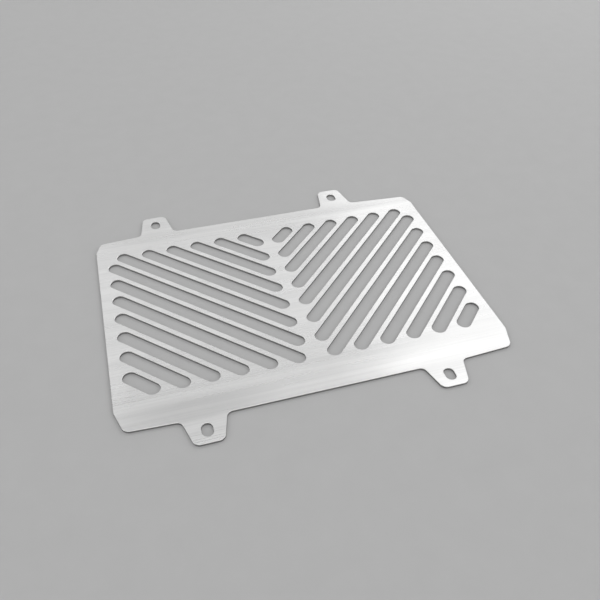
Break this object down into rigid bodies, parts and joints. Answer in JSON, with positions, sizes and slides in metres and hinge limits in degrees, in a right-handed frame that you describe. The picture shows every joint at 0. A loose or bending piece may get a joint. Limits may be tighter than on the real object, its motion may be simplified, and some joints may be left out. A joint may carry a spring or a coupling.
{
  "type": "motorcycle radiator guard",
  "caption": "Flat brushed stainless plate with slanted round-ended slots in a herringbone and tapered bolt tabs, fixed in front of a motorcycle radiator to keep stones off it",
  "frame": {"origin": "middle of the plate's outline box, on the back face that it lies on", "axes": "+X along the plate's length, across the motorcycle; +Y towards the upper edge as fitted; +Z out of the brushed front face"},
  "size_m": [0.243, 0.216, 0.0015],
  "materials": {
    "brushed_stainless": "bright stainless sheet, its front face brushed along the plate's length"
  },
  "bodies": {
    "root": {"guard_plate": "brushed_stainless"}
  },
  "joints": []
}
